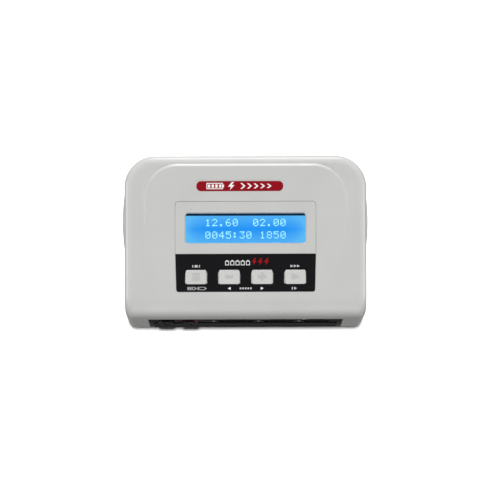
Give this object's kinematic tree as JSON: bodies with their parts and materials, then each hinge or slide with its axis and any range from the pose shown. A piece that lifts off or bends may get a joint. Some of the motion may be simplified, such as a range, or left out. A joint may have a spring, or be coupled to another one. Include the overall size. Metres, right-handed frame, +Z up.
{
  "type": "balance battery charger",
  "caption": "Wedge-shaped desktop charger for model batteries: backlit two-line display, sprung keys, side fan, banana and balance sockets in front, inlets behind.",
  "frame": {"origin": "centre of the case's footprint, on the surface that it stands on", "axes": "+Z up, +X to the user's right, -Y towards the user, where the output sockets are"},
  "size_m": [0.1298, 0.084, 0.0553],
  "materials": {
    "case_plastic": "satin moulded",
    "base_plastic": "fine moulded texture",
    "frame_plastic": "satin moulded",
    "window_clear": "clear polycarbonate",
    "label_black": "printed film",
    "badge_red": "printed",
    "key_plastic": "satin moulded",
    "switch_black": "moulded",
    "circuit_board": "solder mask",
    "screw_steel": "zinc plated",
    "bezel_steel": "black painted",
    "display_blue": "backlit liquid crystal",
    "backlight": "diffuser",
    "foot_rubber": "matt",
    "socket_black": "moulded",
    "contact_metal": "gold flashed",
    "collar_black": "moulded",
    "inlet_black": "moulded",
    "inlet_yellow": "moulded",
    "fan_black": "moulded",
    "ferrite": "sintered",
    "winding_tape": "polyester tape",
    "choke_wire": "enamelled copper on a ring core",
    "capacitor_sleeve": "shrink sleeve",
    "sink_aluminium": "extruded",
    "chip_black": "moulded epoxy",
    "fuse_glass": "clear",
    "lead_sleeve": "insulation",
    "ribbon_grey": "ribbon"
  },
  "bodies": {
    "case": {"badge": "badge_red", "balance_board": "circuit_board", "balance_socket_2s": "socket_black", "balance_socket_3s": "socket_black", "balance_socket_4s": "socket_black", "balance_socket_5s": "socket_black", "balance_socket_6s": "socket_black", "banana_barrels": "contact_metal", "base_tray": "base_plastic", "board_screws": "screw_steel", "bulk_capacitor": "capacitor_sleeve", "buzzer": "switch_black", "case_screws": "screw_steel", "charger_board": "circuit_board", "collar_nuts": "screw_steel", "control_chips": "chip_black", "dc_inlet": "inlet_yellow", "display_backlight": "backlight", "display_bezel": "bezel_steel", "display_board": "circuit_board", "display_frame": "frame_plastic", "display_glass": "display_blue", "display_header": "switch_black", "display_ribbon": "ribbon_grey", "display_window": "window_clear", "face_screws": "screw_steel", "fan_frame": "fan_black", "fan_screws": "screw_steel", "feet": "foot_rubber", "fuse": "fuse_glass", "heat_sink": "sink_aluminium", "inlet_pins": "contact_metal", "key_board": "circuit_board", "keypad_plate": "label_black", "line_choke": "choke_wire", "mains_inlet": "inlet_black", "negative_collar": "collar_black", "output_capacitors": "capacitor_sleeve", "output_leads": "lead_sleeve", "port_panel": "base_plastic", "positive_collar": "collar_black", "power_board": "circuit_board", "power_inductors": "choke_wire", "power_transistors": "chip_black", "sensor_socket": "socket_black", "socket_pins": "contact_metal", "supply_leads": "lead_sleeve", "switch_bodies": "switch_black", "top_shell": "case_plastic", "transformer_core": "ferrite", "transformer_winding": "winding_tape"},
    "stop_button": {"stop_key": "key_plastic", "stop_plunger": "switch_black"},
    "minus_button": {"minus_key": "key_plastic", "minus_plunger": "switch_black"},
    "plus_button": {"plus_key": "key_plastic", "plus_plunger": "switch_black"},
    "start_button": {"start_key": "key_plastic", "start_plunger": "switch_black"},
    "fan": {"fan_rotor": "fan_black"}
  },
  "joints": [
    {"name": "stop_press", "type": "slide", "parent": "case", "child": "stop_button", "axis": [0, 0.1736, -0.9848], "range_m": [0, 0.0004], "stiffness_N_per_m": 4000},
    {"name": "minus_press", "type": "slide", "parent": "case", "child": "minus_button", "axis": [0, 0.1736, -0.9848], "range_m": [0, 0.0004], "stiffness_N_per_m": 4000},
    {"name": "plus_press", "type": "slide", "parent": "case", "child": "plus_button", "axis": [0, 0.1736, -0.9848], "range_m": [0, 0.0004], "stiffness_N_per_m": 4000},
    {"name": "start_press", "type": "slide", "parent": "case", "child": "start_button", "axis": [0, 0.1736, -0.9848], "range_m": [0, 0.0004], "stiffness_N_per_m": 4000},
    {"name": "fan_spin", "type": "hinge", "parent": "case", "child": "fan", "pos_m": [-0.05525, 0.0123, 0.0236], "axis": [1, 0, 0], "continuous": true}
  ]
}
